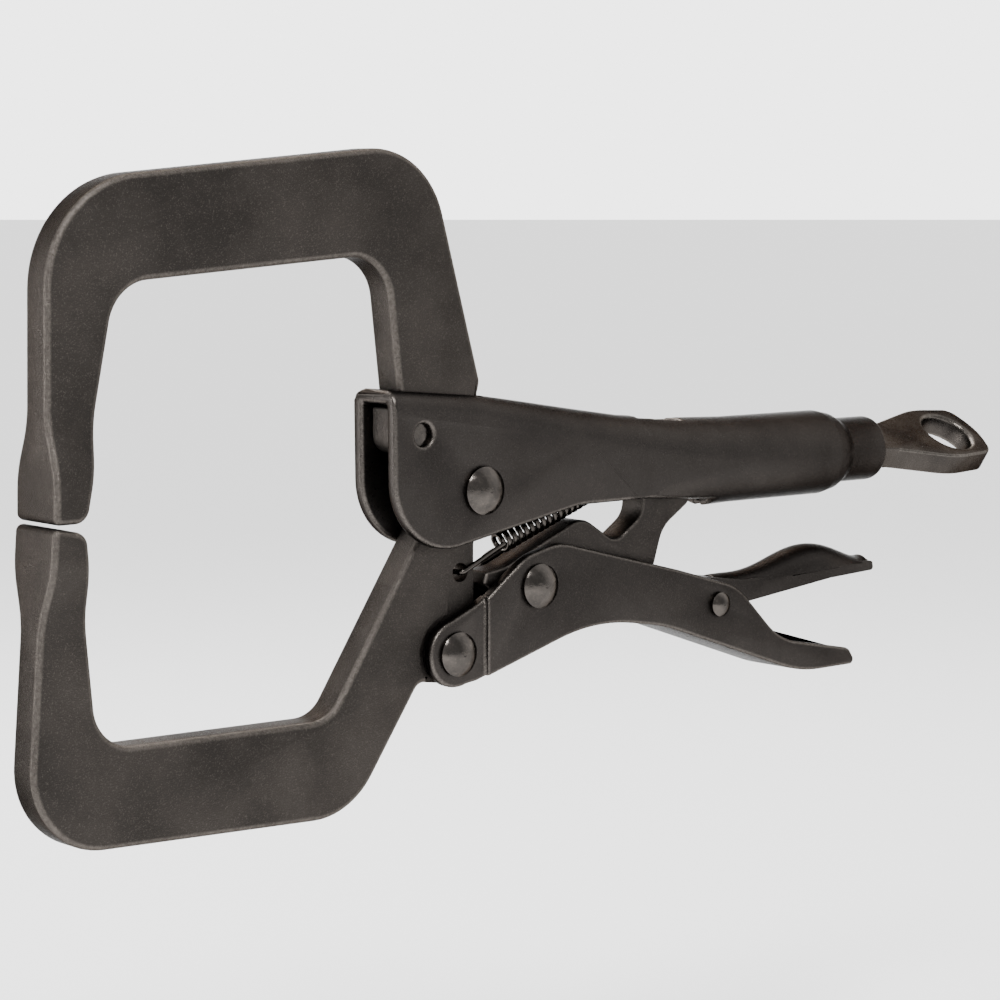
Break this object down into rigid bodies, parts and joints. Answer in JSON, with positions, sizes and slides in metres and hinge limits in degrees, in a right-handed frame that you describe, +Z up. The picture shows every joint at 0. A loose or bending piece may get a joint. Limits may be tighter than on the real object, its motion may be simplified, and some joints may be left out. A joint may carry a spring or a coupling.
{
  "type": "locking c clamp",
  "caption": "Locking C-clamp with forged C jaws, a pressed steel handle with an adjusting screw and eye, an over-centre toggle, a tension spring and a release lever.",
  "frame": {"origin": "under the middle of the closed clamp's length, at the lowest point of the lower jaw, on the middle plane", "axes": "+X from the jaws to the adjusting screw's eye, +Y across the steel, +Z up from the lower jaw to the upper jaw"},
  "size_m": [0.2764, 0.0202, 0.14],
  "materials": {
    "forged_steel": "blasted and blackened forging with worn edges",
    "pressed_steel": "black oxide on pressed sheet, fine grain, satin",
    "link_steel": "blackened blanked steel",
    "lever_steel": "black oxide, satin",
    "rivet_steel": "dark polished rivet heads",
    "spring_wire": "blackened drawn wire",
    "screw_steel": "black oxide, satin, bright where rubbed"
  },
  "bodies": {
    "upper_half": {"upper_jaw": "forged_steel", "upper_handle": "pressed_steel", "jaw_cross_pin": "rivet_steel", "main_pivot_rivet": "rivet_steel", "tension_spring": "spring_wire"},
    "lower_jaw": {"lower_jaw": "forged_steel"},
    "lower_handle": {"lower_handle": "pressed_steel", "lower_jaw_rivet": "rivet_steel", "toggle_rivet": "rivet_steel", "lever_rivet": "rivet_steel"},
    "toggle_link": {"toggle_link": "link_steel"},
    "release_lever": {"release_lever": "lever_steel"},
    "screw_slide": {"screw_nose": "screw_steel"},
    "screw_turn": {"adjusting_screw": "screw_steel"}
  },
  "joints": [
    {"name": "jaw_opening", "type": "hinge", "parent": "upper_half", "child": "lower_jaw", "pos_m": [-0.02725, 0, 0.06707], "axis": [0, -1, 0], "range_deg": [0, 20], "deforming": ["tension_spring"]},
    {"name": "lower_handle_swing", "type": "hinge", "parent": "lower_jaw", "child": "lower_handle", "pos_m": [-0.03385, 0, 0.03207], "axis": [0, 1, 0], "range_deg": [0, 62]},
    {"name": "toggle_swing", "type": "hinge", "parent": "lower_handle", "child": "toggle_link", "pos_m": [-0.01145, 0, 0.04507], "axis": [0, -1, 0], "range_deg": [0, 68]},
    {"name": "release_lever_press", "type": "hinge", "parent": "lower_handle", "child": "release_lever", "pos_m": [0.04345, 0, 0.03607], "axis": [0, 1, 0], "range_deg": [0, 10]},
    {"name": "screw_travel", "type": "slide", "parent": "upper_half", "child": "screw_slide", "axis": [1, 0, 0], "range_m": [0, 0.015]},
    {"name": "screw_turning", "type": "hinge", "parent": "screw_slide", "child": "screw_turn", "pos_m": [0.07275, 0, 0.06877], "axis": [1, 0, 0], "range_deg": [0, 3601]}
  ],
  "couplings": [
    {"joint": "lower_handle_swing", "follows": "jaw_opening", "ratio": 3.1},
    {"joint": "toggle_swing", "follows": "jaw_opening", "ratio": 3.4},
    {"joint": "screw_turning", "follows": "screw_travel", "rad_per_m": 4188.8}
  ]
}
